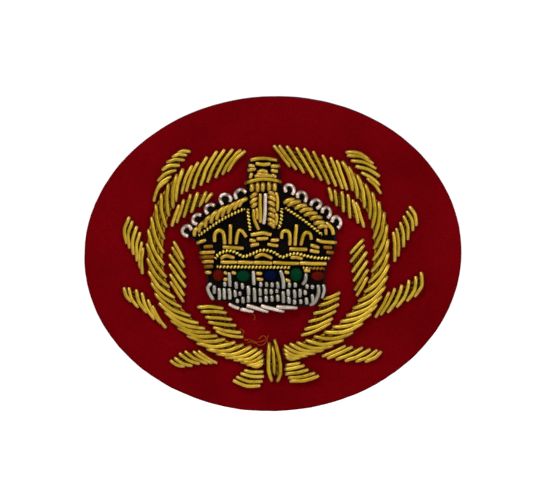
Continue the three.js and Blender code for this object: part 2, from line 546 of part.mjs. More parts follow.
function circlet() {
  const fleurs = Object.entries({ ...FLEURS, centre_cross: CENTRE_CROSS, ...HALF_CROSSES })
    .map(([name, { purls, plate }]) => crownNode(name, GOLD, {
      rungs: purls.map((points) => route(points, points.length > 3 ? FLEUR_STEPS : undefined)),
      plates: [plate] }));
  const bar = barPurls(BAR);
  const band = [...BAND.dividers, ...BAND.chips].map((points) => route(points));
  return [
    ...fleurs,
    crownNode("circlet_wave", GOLD, { plates: [WAVE.plate], checks: [route(WAVE.checks[0], WAVE_STEPS)],
      rungs: WAVE.arcs.map((points) => route(points)) }),
    crownNode("circlet_bar", GOLD, { rungs: bar, plates: [BAR.plate] }),
    crownNode("circlet_band", SILVER, { plates: [BAND.plate],
      checks: BAND.checks.map((points) => route(points)),
      rungs: [...band, ...uprights(FIRST_ERMINE_ROW)] }),
    ...Object.entries(JEWELS).map(([name, shape]) => jewel(name, shape)),
  ];
}

// ---------------------------------------------------------------- crown: ermine and base

// Upright silver purls of the ermine, with black gaps between them
const ERMINE_UPRIGHTS = [
  [-11.35, -5.5, -6.8], [-10.45, -6.0, -8.0], [-9.5, -6.05, -8.0], [-8.5, -6.15, -8.0], [-7.45, -6.5, -7.6],
  [-6.5, -6.9, -7.35], [-4.9, -5.8, -7.4], [-3.8, -6.2, -8.7], [-2.7, -6.4, -7.6], [-1.6, -6.55, -7.3],
  [-0.6, -6.65, -7.3], [0.45, -6.7, -7.15], [1.6, -7.1, -9.1], [2.6, -6.8, -7.8], [2.7, -8.2, -9.2],
  [3.8, -6.9, -8.3], [4.85, -6.8, -8.1], [5.8, -7.1, -7.7], [7.2, -7.9, -9.3], [-7.1, -8.25, -8.7],
  [-6.0, -7.9, -8.8], [-5.0, -7.7, -8.7], [-2.7, -8.1, -8.8], [-1.6, -7.9, -8.75], [-0.5, -7.9, -8.7],
  [0.6, -7.75, -8.7], [3.75, -8.8, -9.4], [4.9, -8.8, -9.4], [6.0, -8.5, -9.5]];
const ERMINE_ENDS = [
  [[-11.95, -4.95], [-12.55, -5.8], [-12.2, -7.0], [-11.65, -7.95]],
  [[8.35, -6.1], [8.3, -7.6], [7.6, -9.2], [6.7, -9.8]],
  [[9.3, -6.1], [9.4, -7.2], [8.9, -8.5]],
];
const ERMINE_PLATE = [[-12.3, -5.7], [-10.0, -6.4], [-5.2, -6.9], [1.0, -6.9], [3.0, -7.1], [9.0, -6.9],
  [8.9, -7.8], [7.4, -9.1], [4.0, -9.2], [-2.0, -8.6], [-7.4, -8.6], [-11.9, -7.6]];

const BASE_PURLS = [
  [[-8.7, -9.05], [-7.7, -9.6], [-6.9, -9.9]], [[-6.5, -10.15], [-4.2, -10.6]],
  [[-5.3, -9.4], [-1.4, -10.75]], [[-2.6, -9.6], [1.6, -10.85]], [[0.3, -9.9], [4.1, -10.3]],
];
const BASE_PLATE = [[-7.9, -9.2], [-5.0, -9.4], [0.6, -9.9], [3.4, -10.1], [1.0, -10.6], [-5.0, -10.3]];

function ermineAndBase() {
  return [
    crownNode("ermine_band", SILVER, { plates: [ERMINE_PLATE],
      rungs: [...uprights(ERMINE_UPRIGHTS), ...ERMINE_ENDS.map((points) => route(points))] }),
    crownNode("base_purls", SILVER, { plates: [BASE_PLATE],
      rungs: BASE_PURLS.map((points) => route(points)) }),
  ];
}

// ---------------------------------------------------------------- whole badge

const badge = new THREE.Group();
badge.add(...clothLayers(), ...wreath(), ...crownGround(), ...crownTop(), ...circlet(), ...ermineAndBase());

export default badge;
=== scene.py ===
# The looks of a hand-embroidered cap badge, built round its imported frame.
# Lengths in the tables are millimetres on the face of the badge, as [x, z] pairs, and heights are
# counted from the flat back towards the viewer, who looks along +Y. Meshes are made in metres.

import math

import bpy
import numpy as np
from mathutils import Matrix, Vector, geometry, noise


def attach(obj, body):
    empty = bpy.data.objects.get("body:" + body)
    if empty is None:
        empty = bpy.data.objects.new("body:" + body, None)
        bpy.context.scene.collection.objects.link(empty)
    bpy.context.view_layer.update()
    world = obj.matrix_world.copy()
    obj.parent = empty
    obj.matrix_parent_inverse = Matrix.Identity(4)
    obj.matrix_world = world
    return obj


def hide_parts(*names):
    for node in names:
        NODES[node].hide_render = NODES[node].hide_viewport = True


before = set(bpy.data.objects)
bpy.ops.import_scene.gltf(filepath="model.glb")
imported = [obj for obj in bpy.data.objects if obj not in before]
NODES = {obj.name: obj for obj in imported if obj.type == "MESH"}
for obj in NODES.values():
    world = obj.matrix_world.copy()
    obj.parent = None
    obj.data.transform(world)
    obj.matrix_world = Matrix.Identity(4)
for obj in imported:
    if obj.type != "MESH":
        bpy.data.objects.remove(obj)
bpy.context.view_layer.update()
MM = 0.001

FELT_BACK = 1.2
FACE = 2.6
VELVET_RISE = 1.15
PURL_RADIUS = 0.43
STEM_PURL_RADIUS = 0.47
ARCH_PURL_RADIUS = 0.48
ERMINE_RADIUS = 0.43
PEARL_TUBE = 0.42
CHECK_RADIUS = 0.4
COIL_PITCH = 0.15
COIL_GROOVE = 0.035
CHECK_PITCH = 0.68
THREAD_RADIUS = 0.06
SWAY = 0.045
SWAY_STEP = 1.1
STEM_ARCH = 0.5
LEAF_ARCH = 0.24
TIE_ARCH = 0.7
FELT_SIZE = (72, 60)
LINING_SIZE = (71.7, 59.7)
LINING_SLIP = (0.12, 0.4)
LINING_THICKNESS = 0.6
LINING_PRESS = 0.57
SILVER_GROUPS = ("middle_pearls", "circlet_band", "ermine_band", "base_purls")


# ---------------------------------------------------------------- curves on the face

def spline(points, steps):
    """A smooth curve through points, sampled at equal steps of its parameter."""
    p = np.asarray(points, float)
    last = len(p) - 1
    out = []
    for k in range(steps + 1):
        at = last * k / steps
        i = min(int(at), last - 1) if last else 0
        t = at - i
        p0, p1, p2, p3 = p[max(i - 1, 0)], p[i], p[min(i + 1, last)], p[min(i + 2, last)]
        v0, v1 = (p2 - p0) / 2, (p3 - p1) / 2
        cubic = (2 * p1 - 2 * p2 + v0 + v1) * t ** 3
        square = (-3 * p1 + 3 * p2 - 2 * v0 - v1) * t ** 2
        out.append(cubic + square + v0 * t + p1)
    return np.array(out)


def evenly(path, step):
    """The same curve with points a given distance apart, and the distance of each along it."""
    path = np.asarray(path, float)
    gaps = np.linalg.norm(np.diff(path, axis=0), axis=1)
    run = np.concatenate([[0], np.cumsum(gaps)])
    count = max(int(round(run[-1] / step)), 4)
    s = np.linspace(0, run[-1], count + 1)
    return np.stack([np.interp(s, run, path[:, k]) for k in range(path.shape[1])], axis=1), s


def ladder(heads, tails, count, bow=None, hand=0.1):
    """Purls side by side between two edges; bow is the first and the last purl's sideways share."""
    starts, ends = spline(heads, count - 1), spline(tails, count - 1)
    rungs = []
    for i, (start, end) in enumerate(zip(starts, ends)):
        along = end - start
        unit = along / np.linalg.norm(along)
        start = start + unit * hand * math.sin(2.3 * i + heads[0][0])
        end = end + unit * hand * math.sin(3.1 * i + tails[0][1])
        if bow is None:
            rungs.append([start, end])
        else:
            share = bow[0] + (bow[1] - bow[0]) * i / (count - 1)
            rungs.append([start, (start + end) / 2 + np.array([-along[1], along[0]]) * share, end])
    return rungs


def at_share(rung, share):
    """The point at a share of the way along a purl of two or three points."""
    points = spline(rung, 2 * (len(rung) - 1)) if len(rung) == 2 else spline(rung, 20)
    at = share * (len(points) - 1)
    i = min(int(at), len(points) - 2)
    return points[i] + (points[i + 1] - points[i]) * (at - i)


# ---------------------------------------------------------------- the crown's velvet ground

def velvet_outline():
    """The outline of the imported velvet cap, in order."""
    mesh = NODES["crown_cap"].data
    front = min(v.co.y for v in mesh.vertices)
    flat = [p for p in mesh.polygons if all(mesh.vertices[i].co.y < front + 1e-5 for i in p.vertices)]
    place = lambda i: tuple(round(c / MM, 3) for c in (mesh.vertices[i].co.x, mesh.vertices[i].co.z))
    edges = {}
    for p in flat:
        corners = [place(i) for i in p.vertices]
        for a, b in zip(corners, corners[1:] + corners[:1]):
            if (b, a) in edges:
                del edges[(b, a)]
            else:
                edges[(a, b)] = True
    following = {a: b for a, b in edges}
    at = first = min(following)
    loop = []
    while True:
        loop.append(at)
        at = following[at]
        if at == first:
            return np.array(loop)


OUTLINE = velvet_outline()


def depth_inside(points):
    """Signed distance of points inside the velvet's outline, in mm."""
    q = np.asarray(points, float)
    a, b = OUTLINE, np.roll(OUTLINE, -1, axis=0)
    ab = b - a
    t = np.clip(((q[:, None] - a) * ab).sum(-1) / (ab * ab).sum(-1), 0, 1)
    near = np.linalg.norm(q[:, None] - (a + ab * t[..., None]), axis=-1).min(axis=1)
    above = (a[:, 1] > q[:, 1:2]) != (b[:, 1] > q[:, 1:2])
    span = np.where(b[:, 1] == a[:, 1], 1, b[:, 1] - a[:, 1])
    cross = a[:, 0] + (q[:, 1:2] - a[:, 1]) * ab[:, 0] / span
    odd = (above & (q[:, :1] < cross)).sum(axis=1) % 2 == 1
    return np.where(odd, near, -near)


def velvet_height(points):
    d = depth_inside(points)
    return FACE + VELVET_RISE * (1 - np.exp(-np.maximum(d, 0) / 0.28))


# ---------------------------------------------------------------- meshes

def mesh_object(name, verts, faces, material, smooth=True, shades=None):
    mesh = bpy.data.meshes.new(name)
    mesh.from_pydata([tuple(v) for v in np.asarray(verts) * MM], [], faces)
    mesh.validate()
    if smooth:
        mesh.polygons.foreach_set("use_smooth", [True] * len(mesh.polygons))
    for key, values in (shades or {}).items():
        layer = mesh.attributes.new(key, "FLOAT", "POINT")
        layer.data.foreach_set("value", np.asarray(values, np.float32))
    mesh.materials.append(material)
    obj = bpy.data.objects.new(name, mesh)
    bpy.context.scene.collection.objects.link(obj)
    return obj


class Work:
    """Lengths of purl gathered into one mesh."""

    def __init__(self, seed):
        self.verts, self.faces, self.tone, self.tip, self.groove, self.side = [], [], [], [], [], []
        self.count = 0
        self.random = np.random.default_rng(seed)

    def tube(self, path, heights, radii, sides, groove, tone):
        """A tube along path; radii and groove hold one row per ring."""
        n = len(path)
        centre = np.stack([path[:, 0], -heights, path[:, 1]], axis=1)
        tangent = np.gradient(centre, axis=0)
        tangent /= np.linalg.norm(tangent, axis=1)[:, None]
        side = np.cross(tangent, [0.0, -1.0, 0.0])
        side /= np.linalg.norm(side, axis=1)[:, None]
        front = np.cross(side, tangent)
        angle = np.tile(2 * math.pi * np.arange(sides) / sides, (n, 1))
        radii, groove = (np.broadcast_to(each if each.ndim == 2 else each[:, None], (n, sides))
                         for each in (radii, groove))
        ring = centre[:, None] + radii[..., None] * (
            np.cos(angle)[..., None] * side[:, None] + np.sin(angle)[..., None] * front[:, None])
        run = np.concatenate([[0], np.cumsum(np.linalg.norm(np.diff(centre, axis=0), axis=1))])
        from_end = np.minimum(run, run[-1] - run)
        base = self.count
        self.verts.append(ring.reshape(-1, 3))
        self.tone.append(np.full(n * sides, tone))
        self.tip.append(np.repeat(np.exp(-from_end / 0.45), sides))
        self.groove.append(groove.reshape(-1))
        # Mask for painted shade: 0 on the front of the tube, rising round its sides to 1 at the back.
        self.side.append((0.5 - 0.5 * np.sin(angle)).reshape(-1))
        for i in range(n - 1):
            for j in range(sides):
                k = (j + 1) % sides
                a, b = base + i * sides, base + (i + 1) * sides
                self.faces.append((a + j, b + j, b + k, a + k))
        self.count += n * sides
        for end, inward in ((0, 1), (n - 1, -1)):
            hub = self.count
            middle = centre[end] + tangent[end] * inward * 0.12
            rim = centre[end] + (ring[end] - centre[end]) * 0.55 + tangent[end] * inward * 0.03
            self.verts.append(np.vstack([rim, middle[None]]))
            self.tone.append(np.full(sides + 1, tone))
            self.tip.append(np.ones(sides + 1))
            # Painted shade on the end caps: the open end of the coil is darkened, most at its middle.
            self.groove.append(np.concatenate([np.full(sides, 0.6), [1.0]]))
            self.side.append(np.full(sides + 1, 0.5))
            outer = base + end * sides
            for j in range(sides):
                k = (j + 1) % sides
                if inward == 1:
                    self.faces.append((outer + k, hub + k, hub + j, outer + j))
                    self.faces.append((hub + k, hub + sides, hub + j))
                else:
                    self.faces.append((outer + j, hub + j, hub + k, outer + k))
                    self.faces.append((hub + j, hub + sides, hub + k))
            self.count += sides + 1

    def purl(self, points, ground, arch=0.2, radius=PURL_RADIUS, sides=12, dip=0.12):
        """A coil of wire laid over padding: it rests on the ground at its ends and arches between."""
        radius = radius * self.random.uniform(0.95, 1.04)
        fine = spline(points, 24) if len(points) < 6 else spline(points, 60)
        path, s = evenly(fine, COIL_PITCH / 2)
        share = s / s[-1]
        along = np.gradient(path, axis=0)
        along /= np.linalg.norm(along, axis=1)[:, None]
        knots = SWAY_STEP * np.arange(int(s[-1] / SWAY_STEP) + 2)
        sway = np.interp(s, knots, self.random.uniform(-SWAY, SWAY, len(knots)))
        path = path + np.stack([-along[:, 1], along[:, 0]], axis=1) * sway[:, None]
        from_end = np.minimum(s, s[-1] - s)
        heights = ground(path) + radius + arch * (1 - (2 * share - 1) ** 4) * self.random.uniform(0.85, 1.15)
        heights -= dip * np.exp(-(from_end / 0.3) ** 2)
        # Every second ring lies in a groove of the coil: it is drawn thinner, and painted shade darkens its
        # colour there.
        groove = (np.arange(len(path)) % 2).astype(float)
        radii = radius - COIL_GROOVE * groove
        radii[[0, -1]] = radius * 0.86
        self.tube(path, heights, radii, sides, groove, self.random.uniform(0, 1))

    def check(self, points, ground, lift=0.1):
        """Check purl: a coil wound on a square rod, whose bright flats slant across it in a row."""
        path, s = evenly(spline(points, 80), CHECK_PITCH / 10)
        sides = 12
        slant = 0.16 * np.cos(2 * math.pi * np.arange(sides) / sides)
        phase = s[:, None] / CHECK_PITCH + slant[None, :]
        bead = (0.5 + 0.5 * np.cos(2 * math.pi * phase)) ** 0.6
        heights = ground(path) + CHECK_RADIUS + lift
        # Between the flats the tube is drawn thinner, and painted shade darkens the colour there.
        self.tube(path, heights, CHECK_RADIUS * (0.5 + 0.5 * bead), sides, 1 - bead,
                  self.random.uniform(0, 1))

    def thread(self, points, lift):
        """A loose end of fine thread that lies on the felt."""
        path, s = evenly(spline(points, 20), 0.12)
        heights = on_felt(path) + THREAD_RADIUS + lift * np.sin(math.pi * s / s[-1]) ** 2
        self.tube(path, heights, np.full(len(path), THREAD_RADIUS), 6, np.zeros(len(path)),
                  self.random.uniform(0, 1))

    def cord(self, rungs, share, radius, lift, ground):
        """A soft string of padding that runs under a ladder of purls."""
        points = np.array([at_share(rung, share) for rung in rungs])
        path, s = evenly(spline(points, 6 * len(points)), 0.25)
        swell = np.minimum(1, np.minimum(s, s[-1] - s) / 0.5 + 0.5)
        heights = ground(path) + radius * 0.8 + lift
        self.tube(path, heights, radius * swell, 10, np.zeros(len(path)), self.random.uniform(0, 1))

    def finish(self, name, material):
        shades = {"tone": np.concatenate(self.tone), "tip": np.concatenate(self.tip),
                  "groove": np.concatenate(self.groove), "side": np.concatenate(self.side)}
        obj = mesh_object(name, np.vstack(self.verts), self.faces, material, shades=shades)
        return obj


def place(obj, node, slot):
    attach(obj, "root")
    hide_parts(node)
    return obj


# ---------------------------------------------------------------- materials

class Shader:
    """A small helper for writing a node tree."""

    def __init__(self, name):
        self.material = bpy.data.materials.new(name)
        self.material.use_nodes = True
        self.tree = self.material.node_tree
        self.tree.nodes.clear()
        self.bsdf = self.node("ShaderNodeBsdfPrincipled")
        out = self.node("ShaderNodeOutputMaterial")
        self.link(self.bsdf.outputs["BSDF"], out.inputs["Surface"])
        self.place = self.node("ShaderNodeTexCoord").outputs["Object"]

    def node(self, kind, **settings):
        made = self.tree.nodes.new(kind)
        for key, value in settings.items():
            setattr(made, key, value)
        return made

    def link(self, a, b):
        self.tree.links.new(a, b)

    def set(self, **values):
        for key, value in values.items():
            self.bsdf.inputs[key.replace("_", " ")].default_value = value
        return self

    def scaled(self, scale):
        mapping = self.node("ShaderNodeMapping")
        mapping.inputs["Scale"].default_value = scale
        self.link(self.place, mapping.inputs["Vector"])
        return mapping.outputs["Vector"]

    def noise(self, scale, detail=3.0, roughness=0.55, stretch=None):
        made = self.node("ShaderNodeTexNoise")
        made.inputs["Scale"].default_value = scale
        made.inputs["Detail"].default_value = detail
        made.inputs["Roughness"].default_value = roughness
        self.link(self.scaled(stretch) if stretch else self.place, made.inputs["Vector"])
        return made.outputs["Fac"]

    def wave(self, scale, direction="X", distortion=0.0):
        made = self.node("ShaderNodeTexWave", bands_direction=direction)
        made.inputs["Scale"].default_value = scale
        made.inputs["Distortion"].default_value = distortion
        self.link(self.place, made.inputs["Vector"])
        return made.outputs["Fac"]

    def attribute(self, name):
        return self.node("ShaderNodeAttribute", attribute_name=name).outputs["Fac"]

    def ramp(self, fac, stops):
        made = self.node("ShaderNodeValToRGB")
        band = made.color_ramp
        while len(band.elements) < len(stops):
            band.elements.new(0.5)
        for element, (at, colour) in zip(band.elements, stops):
            element.position = at
            element.color = (*linear(colour), 1) if not isinstance(colour, float) else (colour,) * 3 + (1,)
        self.link(fac, made.inputs["Fac"])
        return made.outputs["Color"]

    def mix(self, fac, a, b, how="MIX"):
        made = self.node("ShaderNodeMix", data_type="RGBA", blend_type=how)
        ports = [p for p in made.inputs if p.enabled]
        for port, value in zip(ports, (fac, a, b)):
            if isinstance(value, (int, float)):
                port.default_value = value
            elif isinstance(value, tuple):
                port.default_value = (*linear(value), 1)
            else:
                self.link(value, port)
        return [p for p in made.outputs if p.enabled][0]

    def math(self, how, a, b):
        made = self.node("ShaderNodeMath", operation=how)
        for port, value in zip(made.inputs, (a, b)):
            if isinstance(value, (int, float)):
                port.default_value = value
            else:
                self.link(value, port)
        return made.outputs["Value"]

    def colour(self, socket):
        self.link(socket, self.bsdf.inputs["Base Color"])
        return self

    def rough(self, socket, low, high):
        span = self.node("ShaderNodeMapRange")
        span.inputs["To Min"].default_value = low
        span.inputs["To Max"].default_value = high
        self.link(socket, span.inputs["Value"])
        self.link(span.outputs["Result"], self.bsdf.inputs["Roughness"])
        return self

    def bump(self, socket, distance, strength=1.0):
        made = self.node("ShaderNodeBump")
        made.inputs["Distance"].default_value = distance
        made.inputs["Strength"].default_value = strength
        self.link(socket, made.inputs["Height"])
        self.link(made.outputs["Normal"], self.bsdf.inputs["Normal"])
        return self


def linear(colour):
    return tuple(((c / 255 + 0.055) / 1.055) ** 2.4 if c > 10 else c / 255 / 12.92 for c in colour)


def wire(name, dark, light, tip, shadow, roughness, grooves=0.35, sides=0.75):
    """Bright wire coiled into purl: its colour drifts from length to length, and shade is painted into
    its grooves and down its sides, where it meets the next purl."""
    s = Shader(name)
    drift = s.math("ADD", s.math("MULTIPLY", s.attribute("tone"), 0.6), s.math("MULTIPLY", s.noise(420), 0.4))
    body = s.ramp(drift, [(0.15, dark), (0.85, light)])
    stained = s.mix(s.ramp(s.noise(900, 4), [(0.45, 0.0), (0.75, 0.4)]), body, shadow)
    ended = s.mix(s.math("MULTIPLY", s.attribute("tip"), 0.75), stained, tip)
    # Painted shade: the colour is pulled towards the shadow colour in the coil's grooves.
    groove_shaded = s.mix(s.math("MULTIPLY", s.attribute("groove"), grooves), ended, shadow)
    # Painted shade: the colour is pulled towards the shadow colour down the tube's sides and back.
    side_shaded = s.mix(s.ramp(s.attribute("side"), [(0.08, 0.0), (0.55, sides)]), groove_shaded, shadow)
    s.colour(side_shaded).rough(s.noise(2600), roughness - 0.06, roughness + 0.1)
    s.bump(s.noise(9000, 2), 0.00002, 0.4)
    s.set(Metallic=1.0)
    return s.material


# Each wire's fourth colour is its painted shade for grooves and sides, and also tints its random stains;
# check purl takes the strongest painted shade between its flats.
GOLD = wire("gold_purl", (140, 112, 26), (176, 146, 50), (178, 140, 86), (66, 44, 2), 0.42)
DULL_GOLD = wire("dull_gold_purl", (96, 56, 12), (134, 92, 26), (120, 74, 26), (40, 22, 4), 0.5)
CHECK_GOLD = wire("gold_check_purl", (166, 142, 56), (190, 166, 78), (176, 146, 80), (34, 22, 6), 0.34, 0.95)
SILVER = wire("silver_purl", (164, 150, 138), (196, 180, 166), (196, 166, 152), (66, 56, 50), 0.44, 0.3, 0.4)
ERMINE = wire("ermine_purl", (118, 114, 102), (158, 152, 140), (146, 140, 128), (48, 44, 40), 0.42)


def felt():
    s = Shader("red_felt")
    cloud = s.noise(90, 4)
    fibres = s.noise(2600, 6, 0.7)
    body = s.ramp(cloud, [(0.3, (72, 1, 4)), (0.7, (86, 2, 6))])
    matted = s.mix(s.ramp(fibres, [(0.4, 0.0), (0.7, 0.6)]), body, (58, 0, 3))
    s.colour(matted).rough(fibres, 0.88, 1.0)
    s.bump(s.math("ADD", fibres, s.math("MULTIPLY", s.noise(7000, 3), 0.5)), 0.00012, 0.5)
    s.set(Specular_IOR_Level=0.0, Sheen_Weight=0.04, Sheen_Roughness=0.6, Sheen_Tint=(0.4, 0.0, 0.005, 1))
    return s.material


def velvet():
    s = Shader("black_velvet")
    pile = s.noise(5200, 4, 0.7)
    body = s.ramp(s.noise(300, 3), [(0.3, (2, 1, 1)), (0.7, (8, 4, 4))])
    s.colour(s.mix(s.ramp(pile, [(0.5, 0.0), (0.8, 0.5)]), body, (13, 7, 7))).rough(pile, 0.85, 1.0)
    s.bump(pile, 0.00008, 0.6)
    s.set(Specular_IOR_Level=0.03, Sheen_Weight=0.02, Sheen_Roughness=0.4)
    return s.material


def backing():
    s = Shader("black_backing")
    weave = s.math("MULTIPLY", s.wave(900, "X", 0.6), s.wave(900, "Z", 0.6))
    body = s.ramp(s.math("ADD", s.math("MULTIPLY", weave, 0.6), s.math("MULTIPLY", s.noise(240), 0.4)),
                  [(0.1, (14, 9, 11)), (0.9, (44, 34, 38))])
    s.colour(body).rough(weave, 0.8, 0.95).bump(weave, 0.0001, 0.7).set(Specular_IOR_Level=0.2)
    return s.material


def card():
    s = Shader("card")
    body = s.ramp(s.noise(1200, 5), [(0.3, (168, 158, 138)), (0.7, (204, 196, 178))])
    s.colour(body).rough(s.noise(3000), 0.85, 1.0).bump(s.noise(4000, 4), 0.00008, 0.5)
    return s.material


def string(name, dark, light):
    s = Shader(name)
    body = s.ramp(s.noise(2200, 4), [(0.3, dark), (0.7, light)])
    s.colour(body).rough(s.noise(3000), 0.85, 1.0).bump(s.noise(5200, 4), 0.00006, 0.6)
    s.set(Specular_IOR_Level=0.05)
    return s.material


def sewing_thread():
    s = Shader("sewing_thread")
    s.colour(s.ramp(s.noise(1500, 4), [(0.3, (96, 34, 2)), (0.7, (140, 66, 8))]))
    s.rough(s.noise(3000), 0.7, 0.9).set(Specular_IOR_Level=0.1)
    return s.material


STRING = string("padding_string", (60, 40, 4), (104, 76, 12))
STEM_STRING = string("stem_string", (112, 82, 6), (156, 120, 14))


def silk(name, dark, light):
    s = Shader(name)
    threads = s.wave(2600, "Z", 1.2)
    body = s.ramp(s.math("ADD", s.math("MULTIPLY", threads, 0.5), s.math("MULTIPLY", s.noise(800), 0.5)),
                  [(0.2, dark), (0.8, light)])
    s.colour(body).rough(threads, 0.6, 0.8).bump(threads, 0.00005, 0.6)
    s.set(Specular_IOR_Level=0.0)
    return s.material


# ---------------------------------------------------------------- cloth layers

# The stiffener ends inside this share of the oval, and the lining is pressed up to the felt outside it
PRESSED_FROM = 0.967
PRESSED_BY = 0.985


def lip(name, material, width, height, shift, levels, rounding, seed, snips, puckers=0.0, pressed=0.0):
    """A hand-cut oval of cloth: its edge shows small snips, and its rims are rounded."""
    around, rings = 300, 44
    low, high = levels
    turn = 2 * math.pi * np.arange(around) / around
    cuts = np.array([sum(a * noise.noise(Vector((math.cos(t) * f, math.sin(t) * f, seed + f)))
                         for f, a in ((7, snips), (26, snips * 0.7))) for t in turn])

    def edge(extra):
        rx, rz = width / 2 - extra + cuts, height / 2 - extra + cuts
        return np.stack([shift[0] + rx * np.cos(turn), shift[1] + rz * np.sin(turn)], axis=1)

    verts, centre = [], np.array(shift, float)
    shares = np.linspace(0, 1, rings + 1)[1:] ** 0.8
    rim = edge(rounding)
    for share in shares:
        rise = pressed * min(max((share - PRESSED_FROM) / (PRESSED_BY - PRESSED_FROM), 0), 1)
        for x, z in centre + (rim - centre) * share:
            soft = puckers * noise.noise(Vector((x * 0.35, z * 0.35, seed)))
            verts.append((x, -(high + rise + min(soft, 0.0) * (1 - share ** 6)), z))
    for lift, out in ((0.3, 0.75), (0.75, 0.3), (1.0, 0.0)):
        for x, z in edge(rounding * out):
            verts.append((x, -(high + pressed - rounding * lift), z))
    for lift, out in ((1.0, 0.0), (0.3, 0.75), (0.0, 1.0)):
        for x, z in edge(rounding * out):
            verts.append((x, -(low + rounding * lift), z))
    loops = len(verts) // around
    verts += [(shift[0], -high, shift[1]), (shift[0], -low, shift[1])]
    front, back = len(verts) - 2, len(verts) - 1
    faces = []
    for i in range(loops - 1):
        for j in range(around):
            k = (j + 1) % around
            faces.append((i * around + j, i * around + k, (i + 1) * around + k, (i + 1) * around + j))
    for j in range(around):
        k = (j + 1) % around
        last = (loops - 1) * around
        faces.append((front, k, j))
        faces.append((back, last + j, last + k))
    return mesh_object(name, verts, faces, material)


felt_piece = lip("felt", felt(), *FELT_SIZE, (0, 0), (FELT_BACK, FACE), 0.22, 3.1, 0.07, puckers=0.12)
place(felt_piece, "ground_cloth", "red_felt")

lining = lip("lining", backing(), *LINING_SIZE, LINING_SLIP, (0.0, LINING_THICKNESS), 0.12, 8.7, 0.04,
             pressed=LINING_PRESS)
place(lining, "backing_cloth", "black_backing")

CARD = card()
for name in ("stiffener", "crown_padding"):
    NODES[name].data.materials.clear()
    NODES[name].data.materials.append(CARD)


def velvet_piece():
    """Velvet turned down over its padding, one thickness of cloth, and open underneath."""
    thickness = 0.33
    low, high = OUTLINE.min(axis=0), OUTLINE.max(axis=0)
    step = 0.42
    inside = []
    for a in np.arange(low[0], high[0], step):
        for b in np.arange(low[1], high[1], step):
            inside.append((a + 0.1 * math.sin(7 * b), b + 0.1 * math.sin(5 * a)))
    inside = np.array(inside)
    inside = inside[depth_inside(inside) > 0.3]
    points = [Vector(p) for p in OUTLINE] + [Vector(p) for p in inside]
    edges = [(i, (i + 1) % len(OUTLINE)) for i in range(len(OUTLINE))]
    flat, _, faces, *_ = geometry.delaunay_2d_cdt(points, edges, [], 1, 1e-6)
    flat = np.array([tuple(p) for p in flat])
    d = np.maximum(depth_inside(flat), 0)
    d[:len(OUTLINE)] = 0
    top = velvet_height(flat)
    top = np.array([h + 0.05 * noise.noise(Vector((x * 0.9, z * 0.9, 0.3))) * min(k, 1)
                    for h, (x, z), k in zip(top, flat, d)])
    rim = d < 1e-3
    top[rim] = FACE + 0.02
    under = np.maximum(top - thickness, FACE + 0.02)
    count = len(flat)
    verts = [(x, -h, z) for (x, z), h in zip(flat, top)]
    twin = {}
    for i in range(count):
        if rim[i]:
            twin[i] = i
        else:
            twin[i] = len(verts)
            verts.append((flat[i][0], -under[i], flat[i][1]))
    both = []
    for f in faces:
        both.append(tuple(f))
        both.append(tuple(twin[i] for i in reversed(f)))
    return mesh_object("velvet", verts, both, velvet())


cap = velvet_piece()
place(cap, "crown_cap", "black_velvet")


# ---------------------------------------------------------------- wreath

def on_felt(path):
    return np.full(len(path), FACE)


def on_velvet(path):
    d = depth_inside(path)
    rise = np.clip((d + 0.5) / 1.1, 0, 1)
    level = FACE + VELVET_RISE * rise * rise * (3 - 2 * rise)
    reach = 5
    padded = np.pad(level, reach, mode="edge")
    return np.mean([padded[k:k + len(level)] for k in range(2 * reach + 1)], axis=0)


